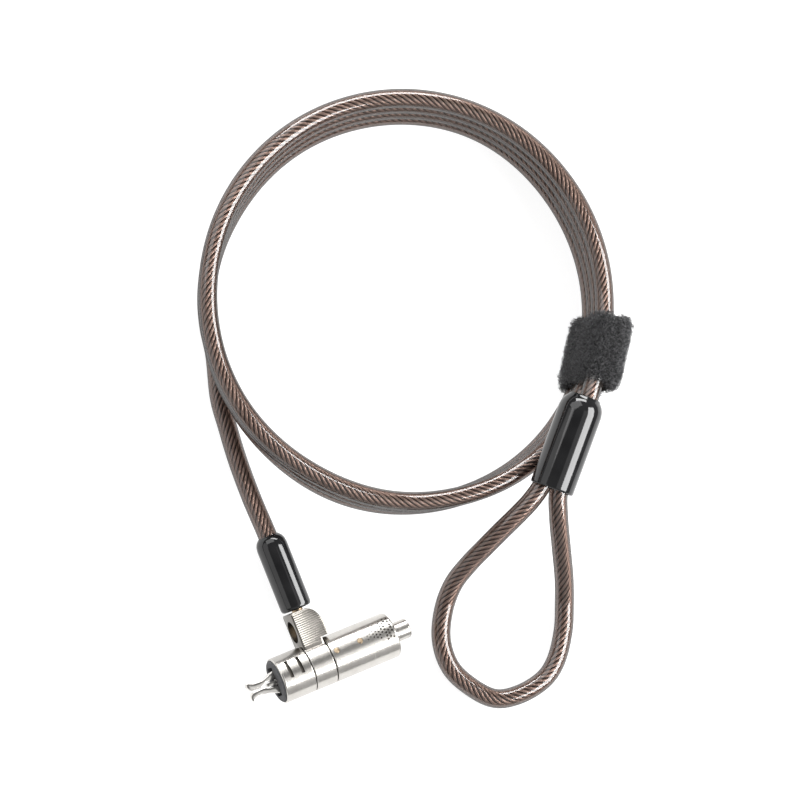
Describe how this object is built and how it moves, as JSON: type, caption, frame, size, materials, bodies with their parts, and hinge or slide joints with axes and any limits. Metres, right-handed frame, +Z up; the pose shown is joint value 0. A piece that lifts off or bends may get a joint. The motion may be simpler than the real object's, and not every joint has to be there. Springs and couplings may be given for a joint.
{
  "type": "laptop cable lock",
  "caption": "Slim keyed lock head with spreading hooks and a swivel ring on a coated steel cable, coiled and strapped, ending in a closed loop.",
  "frame": {"origin": "under the middle of the lock head's own box, on the surface that the lock lies on", "axes": "+X along the lock barrel, from the hooks to the key end; +Y from the barrel to the cable; +Z up"},
  "size_m": [0.1457, 0.1794, 0.0318],
  "materials": {
    "satin_nickel": "satin nickel plate with fine brushing",
    "polished_nickel": "bright nickel plate",
    "bare_steel": "machined, oiled",
    "brass": "turned, lightly tarnished",
    "grey_pad": "matt, fine grain",
    "black_sleeve": "high gloss",
    "ferrule_alloy": "pressed, dull",
    "cable_jacket": "clear smoke-brown jacket over twisted wire",
    "strap_fleece": "napped loop pile"
  },
  "bodies": {
    "cable": {"cable_tail": "cable_jacket", "cable_coil": "cable_jacket", "cable_lead": "cable_jacket", "cable_loop": "cable_jacket", "loop_sleeve": "black_sleeve", "loop_ferrule": "ferrule_alloy", "strap": "strap_fleece", "cable_stud": "brass", "end_sleeve": "black_sleeve", "end_ferrule": "ferrule_alloy"},
    "ring": {"swivel_ring": "satin_nickel"},
    "barrel": {"front_shell": "satin_nickel", "nose_pad": "grey_pad", "rear_shell": "satin_nickel", "core_sleeve": "bare_steel", "dowel_pin_front": "brass", "dowel_pin_rear": "brass", "hook_pin_left": "bare_steel", "hook_pin_right": "bare_steel", "return_spring": "bare_steel"},
    "plunger": {"lock_cylinder": "polished_nickel", "spreader": "polished_nickel", "driver_pin_1": "bare_steel", "driver_pin_2": "bare_steel", "driver_pin_3": "bare_steel", "driver_pin_4": "bare_steel"},
    "key_plug": {"key_plug": "brass", "key_pin_1": "brass", "key_pin_2": "brass", "key_pin_3": "brass", "key_pin_4": "brass"},
    "hook_left": {"hook_left": "polished_nickel"},
    "hook_right": {"hook_right": "polished_nickel"}
  },
  "joints": [
    {"name": "cable_swivel", "type": "hinge", "parent": "cable", "child": "ring", "pos_m": [-0.00305, 0.0062, 0.0067], "axis": [0, 1, 0], "continuous": true},
    {"name": "head_swivel", "type": "hinge", "parent": "ring", "child": "barrel", "pos_m": [-0.00355, -0.0048, 0.0067], "axis": [1, 0, 0], "continuous": true},
    {"name": "plunger_push", "type": "slide", "parent": "barrel", "child": "plunger", "axis": [-1, 0, 0], "range_m": [0, 0.0025], "stiffness_N_per_m": 300},
    {"name": "key_turn", "type": "hinge", "parent": "plunger", "child": "key_plug", "pos_m": [0.01365, -0.0048, 0.0067], "axis": [1, 0, 0], "range_deg": [0, 90]},
    {"name": "hook_left_spread", "type": "hinge", "parent": "barrel", "child": "hook_left", "pos_m": [-0.01285, -0.00285, 0.0067], "axis": [0, 0, -1], "range_deg": [0, 3.5]},
    {"name": "hook_right_spread", "type": "hinge", "parent": "barrel", "child": "hook_right", "pos_m": [-0.01285, -0.00675, 0.0067], "axis": [0, 0, 1], "range_deg": [0, 3.5]}
  ],
  "couplings": [
    {"joint": "hook_left_spread", "follows": "plunger_push", "rad_per_m": 24},
    {"joint": "hook_right_spread", "follows": "plunger_push", "rad_per_m": 24}
  ]
}
